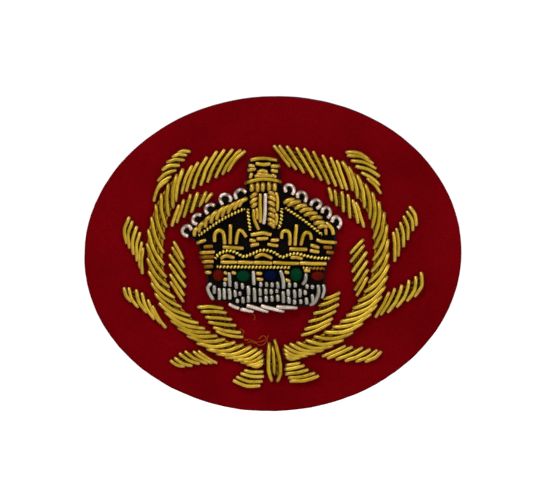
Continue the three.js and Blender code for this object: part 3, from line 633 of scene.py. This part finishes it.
LEAVES = {
    "leaf_top_left": dict(
        count=8, bow=(-0.05, -0.05), heads=[(-4.4, 19.9), (-9.1, 20.2), (-14.7, 17.4)],
        tails=[(-8.0, 16.2), (-12.5, 14.0), (-16.9, 12.3)]),
    "leaf_outer_top_left": dict(
        count=7, bow=(0.1, 0.13), heads=[(-17.4, 20.0), (-20.4, 16.9), (-22.2, 11.0)],
        tails=[(-15.1, 20.2), (-17.0, 17.7), (-19.4, 14.9)]),
    "leaf_inner_top_left": dict(
        count=6, heads=[(-17.4, 10.2), (-14.5, 12.3), (-11.1, 12.1)],
        tails=[(-19.0, 6.2), (-15.9, 8.2), (-12.4, 10.5)]),
    "leaf_outer_middle_left": dict(
        count=6, bow=(-0.13, -0.05), heads=[(-27.0, 8.1), (-25.3, 5.8), (-24.6, 2.2)],
        tails=[(-27.7, 3.2), (-26.1, 0.5), (-24.9, -2.6)]),
    "leaf_inner_middle_left": dict(
        count=6, heads=[(-18.7, 3.2), (-19.7, -0.1), (-19.6, -4.5)],
        tails=[(-17.1, -0.2), (-16.9, -4.6), (-17.4, -8.2)]),
    "leaf_outer_lower_left": dict(
        count=6, bow=(-0.12, -0.05), heads=[(-28.5, -5.2), (-25.75, -5.9), (-23.3, -8.8)],
        tails=[(-27.3, -7.9), (-23.7, -10.7), (-21.0, -13.0)]),
    "leaf_inner_lower_left": dict(
        count=6, bow=(0.05, -0.06), heads=[(-14.6, -9.5), (-13.0, -11.9), (-11.4, -14.1)],
        tails=[(-10.0, -9.8), (-8.0, -12.6), (-6.3, -15.5)]),
    "leaf_outer_bottom_left": dict(
        count=6, bow=(-0.1, -0.03), heads=[(-20.2, -19.5), (-18.0, -17.9), (-14.9, -17.9)],
        tails=[(-17.6, -20.6), (-14.1, -20.2), (-11.6, -20.2)]),
    "leaf_bottom_left": dict(
        count=4, bow=(-0.1, -0.05), heads=[(-8.4, -23.7), (-7.5, -22.7), (-6.2, -21.9)],
        tails=[(-3.5, -24.9), (-2.8, -23.6), (-2.7, -22.2)]),
    "leaf_top_right": dict(
        count=9, heads=[(1.0, 20.7), (6.8, 19.8), (12.8, 17.4)],
        tails=[(3.9, 16.6), (9.8, 13.7), (14.6, 11.7)]),
    "leaf_outer_top_right": dict(
        count=6, bow=(0.13, 0.05), heads=[(14.6, 18.9), (15.9, 16.7), (18.4, 13.8)],
        tails=[(19.1, 17.2), (20.5, 14.9), (20.9, 10.9)]),
    "leaf_inner_top_right": dict(
        count=6, heads=[(11.2, 12.1), (14.2, 11.1), (16.2, 9.2)],
        tails=[(11.6, 9.8), (14.3, 7.0), (17.5, 4.6)]),
    "leaf_outer_middle_right": dict(
        count=6, bow=(0.02, 0.13), heads=[(23.1, 3.2), (24.8, 5.7), (26.3, 8.0)],
        tails=[(23.1, -2.3), (25.3, 1.2), (27.4, 4.5)]),
    "leaf_inner_middle_right": dict(
        count=6, heads=[(14.7, -0.4), (15.0, -4.8), (15.6, -8.5)],
        tails=[(17.2, 2.1), (17.9, -1.1), (17.8, -5.0)]),
    "leaf_outer_lower_right": dict(
        count=6, bow=(-0.02, -0.15), heads=[(19.0, -12.7), (22.2, -11.4), (26.7, -9.0)],
        tails=[(21.9, -8.0), (25.0, -6.4), (28.0, -4.7)]),
    "leaf_inner_lower_right": dict(
        count=6, bow=(0.05, 0.05), heads=[(12.4, -7.8), (11.85, -10.6), (10.3, -13.5)],
        tails=[(9.3, -8.8), (6.8, -12.3), (4.9, -15.6)]),
    "leaf_outer_bottom_right": dict(
        count=6, bow=(-0.01, -0.08), heads=[(8.6, -19.8), (12.0, -20.6), (16.7, -21.1)],
        tails=[(13.0, -18.0), (17.1, -18.6), (19.9, -19.3)]),
    "leaf_bottom_right": dict(
        count=5, bow=(-0.01, -0.06), heads=[(1.5, -21.2), (1.5, -22.8), (2.4, -24.2)],
        tails=[(4.3, -20.8), (5.9, -22.2), (7.8, -23.5)]),
}
STEMS = {
    "stem_left": dict(
        count=25, bow=(-0.05, -0.13), hand=0.05,
        heads=[(-16.4, 16.9), (-20.7, 12.3), (-23.4, 5.6), (-23.7, -2.3), (-21.9, -8.4),
               (-18.5, -13.2), (-13.2, -17.5), (-8.2, -19.7), (-5.0, -21.0)],
        tails=[(-18.1, 10.9), (-20.1, 6.2), (-20.85, -1.2), (-19.2, -7.4), (-14.8, -12.5),
               (-11.4, -15.1), (-6.4, -17.0), (-2.9, -18.3), (-2.6, -20.5)]),
    "stem_right": dict(
        count=25, bow=(0.05, 0.13), hand=0.05,
        heads=[(13.9, 17.1), (18.1, 12.6), (21.4, 7.1), (22.0, -0.6), (21.0, -7.0),
               (18.1, -12.0), (12.6, -16.8), (7.2, -19.0), (3.7, -19.9)],
        tails=[(15.7, 11.6), (18.7, 6.2), (19.3, 0.4), (18.1, -6.1), (14.9, -10.9),
               (11.0, -14.3), (5.6, -16.6), (1.6, -17.5), (1.6, -19.5)]),
}
TIE = [
    [(-1.4, -16.9), (-1.6, -19.8), (-1.65, -22.0), (-1.15, -24.0)],
    [(-0.75, -17.5), (-0.6, -22.8)],
    [(-0.3, -16.3), (0.45, -20.1), (0.5, -22.5), (-0.1, -24.1)],
]


# Loose ends of the waxed sewing thread, left on the felt beside the tie
LOOSE_ENDS = [
    ([(-6.9, -13.9), (-6.1, -14.4), (-6.5, -15.4), (-5.2, -16.4), (-3.6, -16.9)], 0.12),
    ([(-6.2, -16.2), (-5.0, -16.0), (-4.1, -16.6), (-2.9, -16.5), (-1.9, -16.1)], 0.2),
    ([(-3.4, -16.1), (-2.5, -15.4), (-1.9, -15.9), (-1.6, -17.1)], 0.3),
    ([(-5.6, -16.7), (-4.4, -16.3), (-3.3, -17.2), (-2.2, -16.9), (-1.5, -15.4)], 0.1),
    ([(-4.3, -11.1), (-3.9, -11.7), (-4.1, -12.4)], 0.1),
]


def seed_of(name):
    return sum((i + 1) * ord(c) for i, c in enumerate(name))


def joined(objects, name):
    """Meshes of different finishes made into one piece."""
    if len(objects) > 1:
        with bpy.context.temp_override(active_object=objects[0], selected_editable_objects=objects):
            bpy.ops.object.join()
    objects[0].name = name
    return objects[0]


STEM_CORDS = [(0.14, 0.24, 0.0), (0.3, 0.3, 0.06), (0.5, 0.34, 0.1), (0.7, 0.3, 0.06), (0.86, 0.24, 0.0)]
LEAF_CORDS = [(0.2, 0.15, 0.0), (0.36, 0.18, 0.0), (0.5, 0.18, 0.0), (0.64, 0.18, 0.0), (0.8, 0.15, 0.0)]

for name, shape in {**STEMS, **LEAVES}.items():
    purls, padding = Work(seed_of(name)), Work(seed_of(name) + 9)
    rungs = ladder(**shape)
    stem = name in STEMS
    arch = STEM_ARCH if stem else LEAF_ARCH
    thickness = STEM_PURL_RADIUS if stem else PURL_RADIUS
    for rung in rungs:
        purls.purl(rung, on_felt, arch=arch, radius=thickness)
    for share, radius, lift in STEM_CORDS if stem else LEAF_CORDS:
        padding.cord(rungs, share, radius, lift, on_felt)
    made = [purls.finish(name, GOLD), padding.finish(name, STEM_STRING if stem else STRING)]
    place(joined(made, name + "_work"), name, "gold_purl")
purls, padding = Work(5), Work(6)
for rung in TIE:
    purls.purl(rung, on_felt, arch=TIE_ARCH)
for share in (0.2, 0.4, 0.6, 0.8):
    padding.cord([TIE[0], TIE[1], TIE[2]], share, 0.3, 0.1, on_felt)
ends = Work(7)
for loose, lift in LOOSE_ENDS:
    ends.thread(loose, lift)
place(joined([purls.finish("tie", GOLD), padding.finish("tie", STEM_STRING),
              ends.finish("ends", sewing_thread())], "wreath_tie_work"), "wreath_tie", "gold_purl")


# ---------------------------------------------------------------- crown

CROWN = {
    "top_cross": dict(purls=[
        [(-3.5, 18.1), (-1.1, 18.3), (1.4, 17.8)], [(-2.5, 17.4), (-1.1, 17.15), (0.1, 17.2)],
        [(-3.8, 17.0), (-2.9, 16.9)], [(-4.0, 16.2), (-2.7, 16.4)],
        [(0.4, 16.75), (1.8, 16.75)], [(0.4, 16.0), (1.4, 15.75)]]),
    "monde": dict(purls=[
        [(-4.7, 13.75), (-3.2, 14.15), (-1.2, 14.35), (0.7, 14.15), (2.0, 13.75)],
        [(-2.8, 14.95), (-1.0, 15.0), (0.6, 14.9)], [(-3.7, 14.75), (-3.4, 15.5)],
        [(-2.2, 15.7), (-1.35, 15.95), (-0.5, 15.7)], [(-2.4, 15.3), (-0.4, 15.3)],
        [(1.1, 14.7), (0.6, 15.1)]]),
    "middle_pearls": dict(silver=[[(-0.95, 11.6), (-1.1, 8.8), (-1.5, 5.9)]]),
    "middle_arch_left": dict(
        ladders=[dict(heads=[(-3.4, 13.35), (-1.35, 13.55)], tails=[(-3.5, 12.25), (-1.4, 12.25)], count=3),
                 dict(heads=[(-2.75, 11.7), (-2.75, 9.9)], tails=[(-3.7, 11.0), (-3.6, 9.2)], count=3)],
        purls=[[(-1.95, 11.6), (-2.05, 8.9), (-2.1, 6.2)], [(-3.3, 8.7), (-3.25, 6.9), (-2.5, 4.9)],
               [(-2.7, 8.9), (-2.7, 6.9)]]),
    "middle_arch_right": dict(
        ladders=[dict(heads=[(-0.2, 13.55), (0.9, 13.4)], tails=[(-0.25, 12.25), (0.8, 12.25)], count=2),
                 dict(heads=[(-0.2, 11.8), (-0.3, 8.8), (-0.5, 6.0)],
                      tails=[(0.7, 11.2), (0.6, 8.1), (0.5, 5.2)], count=7, bow=(0.15, 0.15))],
        purls=[[(1.1, 11.7), (1.25, 10.2), (1.1, 8.3)], [(0.95, 7.7), (1.0, 6.7), (0.8, 5.7)]]),
    "arch_left": dict(ladders=[dict(
        count=9, bow=(-0.12, -0.2), heads=[(-4.5, 10.9), (-7.2, 9.8), (-10.5, 8.4), (-13.9, 5.7)],
        tails=[(-6.1, 9.5), (-9.0, 7.9), (-11.8, 6.4), (-14.7, 4.3)])]),
    "arch_right": dict(
        ladders=[dict(count=8, bow=(0.08, 0.12), heads=[(2.5, 9.8), (4.9, 8.4), (7.0, 6.8), (8.9, 4.9)],
                      tails=[(4.4, 10.3), (7.0, 8.8), (9.1, 6.9), (10.4, 4.9)])],
        purls=[[(10.3, 5.6), (11.3, 4.6), (11.6, 3.4)], [(10.2, 4.6), (10.2, 3.5)]]),
    "edging_left": dict(checks=[
        [(-13.9, 4.2), (-9.4, 7.05), (-5.0, 8.95)], [(-4.4, 8.85), (-4.3, 6.8), (-4.1, 4.8)]]),
    "edging_right": dict(checks=[
        [(2.7, 8.75), (6.1, 6.3), (9.5, 3.4)], [(2.0, 8.7), (1.85, 6.6), (1.3, 4.9)]]),
    "fleur_left": dict(purls=[
        [(-10.9, 2.9), (-10.8, 4.4), (-10.0, 5.05), (-9.2, 4.4), (-9.0, 2.4)], [(-7.8, 6.0), (-8.0, 2.4)],
        [(-4.9, 3.6), (-5.6, 4.7), (-6.3, 4.8), (-6.7, 3.6), (-6.85, 2.3)], [(-9.4, 1.85), (-5.6, 1.45)]]),
    "fleur_right": dict(purls=[
        [(1.75, 3.0), (1.9, 4.1), (2.6, 4.45), (3.3, 3.9), (3.25, 1.7)], [(4.7, 5.5), (4.25, 1.6)],
        [(7.4, 2.6), (7.2, 3.7), (6.4, 3.95), (5.8, 3.2), (5.35, 1.6)], [(3.2, 0.95), (6.5, 0.75)]]),
    "centre_cross": dict(purls=[
        [(-4.0, 3.95), (-1.8, 4.2), (-0.2, 3.85)], [(-2.9, 3.15), (-0.9, 3.15)],
        [(-4.2, 2.95), (-3.3, 2.75)], [(-4.1, 1.85), (-2.7, 2.1)],
        [(-0.2, 2.75), (1.1, 2.75)], [(-0.9, 2.0), (1.0, 1.65)]]),
    "half_cross_left": dict(
        purls=[[(-14.2, 2.8), (-12.7, 3.3)], [(-13.7, 0.9), (-11.1, 1.0)], [(-13.3, -0.85), (-11.4, -0.8)],
               [(-12.8, -2.8), (-12.0, -2.85)]],
        dull=[[(-13.0, 2.0), (-11.4, 2.1)], [(-13.7, 0.05), (-11.2, 0.1)], [(-13.0, -1.75), (-11.5, -1.7)]]),
    "half_cross_right": dict(
        purls=[[(8.4, 2.5), (9.8, 2.05), (12.0, 1.85)], [(7.3, 1.55), (8.7, 1.0)], [(7.1, 0.5), (8.7, 0.2)]],
        dull=[[(9.7, 1.05), (11.2, 0.9)], [(10.2, 0.1), (11.4, -0.1)]]),
    "circlet_wave": dict(
        checks=[[(-10.9, -0.3), (-10.2, 0.6), (-8.6, 1.1), (-7.2, 0.8), (-5.6, -0.1), (-4.3, 0.2),
                 (-2.1, 0.95), (0.0, 0.55), (1.65, -0.5), (2.9, -0.15), (4.5, 0.05), (6.2, -0.45),
                 (8.4, -0.95), (10.6, -1.05)]],
        purls=[[(-9.9, -0.3), (-8.8, 0.15), (-7.4, -0.25)], [(-3.4, -0.4), (-1.9, 0.1), (-0.2, -0.65)],
               [(3.4, -0.7), (4.4, -0.65), (5.5, -0.95)]]),
    "circlet_band": dict(
        checks=[[(-10.7, -1.85), (3.2, -2.55)], [(5.6, -2.75), (6.9, -2.85)]],
        dull_checks=[[(7.0, -2.85), (9.6, -3.0)]],
        silver=[[(-8.4, -3.1), (-8.35, -5.6)], [(-3.8, -3.0), (-3.85, -5.5)],
                [(1.35, -3.1), (1.7, -4.8), (1.8, -6.4)], [(6.1, -3.9), (5.9, -5.1), (5.4, -5.8)]],
        uprights=[(-9.3, -4.9, -5.5), (-7.2, -5.0, -6.0), (-6.0, -5.3, -6.1), (-2.55, -5.2, -5.85),
                  (-1.45, -5.3, -5.9), (-0.4, -5.4, -6.0), (0.7, -5.3, -6.3), (2.9, -5.5, -6.2),
                  (4.0, -5.6, -6.2), (6.2, -6.0, -6.5), (7.2, -6.2, -6.6)],
        purls=[[(-9.3, -3.0), (-8.9, -3.2)], [(-9.4, -4.3), (-8.9, -4.3)], [(-7.8, -3.05), (-7.3, -3.2)],
               [(-3.2, -3.4), (-2.35, -3.45)], [(-3.2, -4.5), (-2.2, -4.65)], [(2.2, -3.4), (2.8, -3.5)],
               [(2.3, -4.8), (2.9, -5.1)], [(5.9, -3.25), (6.8, -3.3)]]),
    "ermine_band": dict(
        uprights=[(-11.35, -5.5, -6.8), (-10.45, -6.0, -8.0), (-9.5, -6.05, -8.0), (-8.5, -6.15, -8.0),
                  (-7.45, -6.5, -7.6), (-6.5, -6.9, -7.35), (-4.9, -5.8, -7.4), (-3.8, -6.2, -8.7),
                  (-2.7, -6.4, -7.6), (-1.6, -6.55, -7.3), (-0.6, -6.65, -7.3), (0.45, -6.7, -7.15),
                  (1.6, -7.1, -9.1), (2.6, -6.8, -7.8), (2.7, -8.2, -9.2), (3.8, -6.9, -8.3),
                  (4.85, -6.8, -8.1), (5.8, -7.1, -7.7), (7.2, -7.9, -9.3), (-7.1, -8.25, -8.7),
                  (-6.0, -7.9, -8.8), (-5.0, -7.7, -8.7), (-2.7, -8.1, -8.8), (-1.6, -7.9, -8.75),
                  (-0.5, -7.9, -8.7), (0.6, -7.75, -8.7), (3.75, -8.8, -9.4), (4.9, -8.8, -9.4),
                  (6.0, -8.5, -9.5)],
        silver=[[(-11.95, -4.95), (-12.55, -5.8), (-12.2, -7.0), (-11.65, -7.95)],
                [(8.35, -6.1), (8.3, -7.6), (7.6, -9.2), (6.7, -9.8)],
                [(9.3, -6.1), (9.4, -7.2), (8.9, -8.5)]]),
    "base_purls": dict(silver=[
        [(-8.7, -9.05), (-7.7, -9.6), (-6.9, -9.9)], [(-6.5, -10.15), (-4.2, -10.6)],
        [(-5.3, -9.4), (-1.4, -10.75)], [(-2.6, -9.6), (1.6, -10.85)], [(0.3, -9.9), (4.1, -10.3)]]),
}
PEARLS = {
    "pearl_left_1": [(-4.55, 11.9), (-5.2, 12.45), (-6.1, 12.4), (-6.7, 11.7), (-6.5, 10.8)],
    "pearl_left_2": [(-7.7, 10.3), (-7.6, 11.1), (-8.4, 11.75), (-9.3, 11.6), (-9.6, 10.8), (-9.1, 9.9)],
    "pearl_left_3": [(-10.6, 9.7), (-11.4, 9.95), (-12.2, 9.6), (-12.4, 8.9), (-12.0, 8.2)],
    "pearl_left_4": [(-13.2, 8.0), (-14.1, 8.15), (-14.8, 7.6), (-14.8, 6.7), (-14.1, 6.3)],
    "pearl_left_5": [(-15.2, 5.3), (-15.6, 6.05), (-16.4, 6.0), (-17.0, 5.3), (-16.7, 4.5), (-15.9, 4.1)],
    "pearl_right_1": [(2.95, 11.7), (2.75, 12.6), (3.4, 13.15), (4.2, 12.8), (4.45, 11.9), (4.1, 11.2)],
    "pearl_right_2": [(5.1, 10.5), (5.1, 11.2), (5.8, 11.6), (6.5, 11.3), (6.7, 10.5), (6.4, 9.7)],
    "pearl_right_3": [(7.5, 9.0), (7.9, 9.75), (8.7, 10.05), (9.4, 9.5), (9.2, 8.8), (8.6, 8.4)],
    "pearl_right_4": [(9.7, 7.5), (9.8, 8.2), (10.5, 8.5), (11.1, 8.0), (11.1, 7.1), (10.6, 6.5)],
    "pearl_right_5": [(11.35, 5.7), (11.7, 6.5), (12.4, 6.7), (13.0, 6.1), (13.0, 5.2), (12.4, 4.5)],
}
BAR = dict(left=(-9.9, -1.0), right=(10.0, -2.1), joints=(0.155, 0.305, 0.49, 0.745), gap=0.22)


def bar_purls():
    left, right = np.array(BAR["left"]), np.array(BAR["right"])
    run = right - left
    half = BAR["gap"] / 2 / np.linalg.norm(run)
    cuts = [0, *BAR["joints"], 1]
    return [[left + run * (a + (half if a else 0)), left + run * (b - (half if b < 1 else 0))]
            for a, b in zip(cuts, cuts[1:])]


CROWN["circlet_bar"] = dict(purls=bar_purls())


ARCH_CORDS = [(0.2, 0.26, 0.1), (0.5, 0.34, 0.16), (0.8, 0.26, 0.1)]

for name, parts in CROWN.items():
    made = []
    gold, check, silver, dull, padding = (Work(seed_of(name) + i) for i in range(5))
    for rung in parts.get("purls", []):
        gold.purl(rung, on_velvet, arch=0.1)
    for rung in parts.get("dull", []):
        dull.purl(rung, on_velvet, arch=0.05)
    for shape in parts.get("ladders", []):
        rungs = ladder(**shape)
        for rung in rungs:
            gold.purl(rung, on_velvet, arch=0.3, radius=ARCH_PURL_RADIUS)
        for share, radius, lift in ARCH_CORDS:
            padding.cord(rungs, share, radius, lift, on_velvet)
    for line in parts.get("checks", []):
        check.check(line, on_velvet)
    for line in parts.get("dull_checks", []):
        dull.check(line, on_velvet)
    for rung in parts.get("silver", []):
        silver.purl(rung, on_velvet, arch=0.1)
    for x, top, bottom in parts.get("uprights", []):
        silver.purl([(x, top), (x, bottom)], on_velvet, arch=0.1, radius=ERMINE_RADIUS)
    pale = ERMINE if name in ("ermine_band", "circlet_band") else SILVER
    for work, metal in ((gold, GOLD), (check, CHECK_GOLD), (silver, pale), (dull, DULL_GOLD),
                        (padding, STRING)):
        if work.count:
            made.append(work.finish(name, metal))
    slot = "silver_purl" if name in SILVER_GROUPS else "gold_purl"
    place(joined(made, name + "_work"), name, slot)

for name, loop in PEARLS.items():
    work = Work(seed_of(name))
    work.purl(loop, on_velvet, arch=0.0, radius=PEARL_TUBE)
    place(work.finish(name + "_work", SILVER), name, "silver_purl")


# ---------------------------------------------------------------- jewels

JEWELS = {
    "jewel_red_left": ((-10.5, -3.5), (2.2, 2.3), "red"),
    "jewel_green_left": ((-5.8, -3.8), (2.6, 2.2), "green"),
    "jewel_blue": ((-0.6, -3.9), (2.6, 2.0), "blue"),
    "jewel_green_right": ((4.25, -4.0), (2.4, 2.6), "green"),
    "jewel_red_right": ((8.3, -4.35), (2.5, 1.9), "red"),
}
SILKS = {
    "red": silk("red_silk", (48, 5, 2), (80, 15, 7)),
    "green": silk("green_silk", (1, 22, 10), (5, 50, 26)),
    "blue": silk("blue_silk", (2, 5, 18), (6, 14, 44)),
}
THREAD = 0.16


def jewel(name, centre, size, colour):
    """Satin stitch over padding: a low dome made of level threads."""
    (x, z), (width, height) = centre, size
    rings, around = 16, 48
    verts = []
    base = float(on_velvet(np.array([[x, z]]))[0]) - 0.02
    for i in range(rings + 1):
        tilt = math.pi / 2 * i / rings
        for j in range(around):
            turn = 2 * math.pi * j / around
            px, pz = math.cos(turn) * math.cos(tilt), math.sin(turn) * math.cos(tilt)
            ridge = 0.035 * math.cos(2 * math.pi * pz * height / 2 / THREAD) * math.sin(tilt)
            verts.append((x + px * width / 2, -(base + 0.85 * math.sin(tilt) + ridge), z + pz * height / 2))
    faces = [(i * around + j, i * around + (j + 1) % around,
              (i + 1) * around + (j + 1) % around, (i + 1) * around + j)
             for i in range(rings) for j in range(around)]
    faces.append(tuple(reversed(range(around))))
    obj = mesh_object(name + "_work", verts, faces, SILKS[colour])
    place(obj, name, colour + "_silk")


for name, (centre, size, colour) in JEWELS.items():
    jewel(name, centre, size, colour)


# ---------------------------------------------------------------- stage, light and camera

def studio():
    """A pale floor below the badge, so wide that it meets the white air behind it."""
    s = Shader("studio_paper")
    s.colour(s.ramp(s.noise(3), [(0.3, (250, 250, 250)), (0.7, (255, 255, 255))])).rough(s.noise(9), 0.9, 1.0)
    s.set(Specular_IOR_Level=0.0)
    around = 72
    verts = [(r * math.cos(2 * math.pi * j / around), r * math.sin(2 * math.pi * j / around), FLOOR)
             for r in (300, 3000, 60000) for j in range(around)]
    faces = [tuple(range(around))]
    for i in range(2):
        for j in range(around):
            k = (j + 1) % around
            faces.append((i * around + j, (i + 1) * around + j, (i + 1) * around + k, i * around + k))
    obj = mesh_object("studio_floor", verts, faces, s.material)


def area_light(name, at, size, power, target=(0, 0, 0)):
    data = bpy.data.lights.new(name, "AREA")
    data.shape = "DISK"
    data.size = size
    data.energy = power
    obj = bpy.data.objects.new(name, data)
    bpy.context.scene.collection.objects.link(obj)
    obj.location = at
    obj.rotation_euler = (Vector(target) - Vector(at)).to_track_quat("-Z", "Y").to_euler()


FLOOR = -120.0
studio()
area_light("key", (-0.35, -0.7, 0.75), 0.35, 8.0)
area_light("fill", (0.7, -0.8, 0.2), 0.6, 4.0)

world = bpy.data.worlds.new("studio air")
bpy.context.scene.world = world
world.use_nodes = True
world.node_tree.nodes["Background"].inputs["Color"].default_value = (1.0, 1.0, 1.0, 1)
world.node_tree.nodes["Background"].inputs["Strength"].default_value = 1.05

FRAME_WIDTH = 101.27
LENS = 100.0
SENSOR = 36.0
LOOK_AT = (-0.88, -3.5, 1.1)
ROLL = 0.0401
camera_data = bpy.data.cameras.new("camera")
camera_data.lens = LENS
camera_data.sensor_width = SENSOR
camera_data.clip_start = 0.01
camera = bpy.data.objects.new("camera", camera_data)
bpy.context.scene.collection.objects.link(camera)
distance = FRAME_WIDTH * LENS / SENSOR
elevation = math.radians(1.5)
across = Vector((math.cos(ROLL), 0, -math.sin(ROLL)))
back = Vector((0, -math.cos(elevation), math.sin(elevation)))
upward = back.cross(across).normalized()
camera.matrix_world = Matrix.Translation((Vector(LOOK_AT) + back * distance) * MM) @ Matrix(
    (across, upward, across.cross(upward))).transposed().to_4x4()
bpy.context.scene.camera = camera
bpy.context.scene.view_settings.view_transform = "Standard"
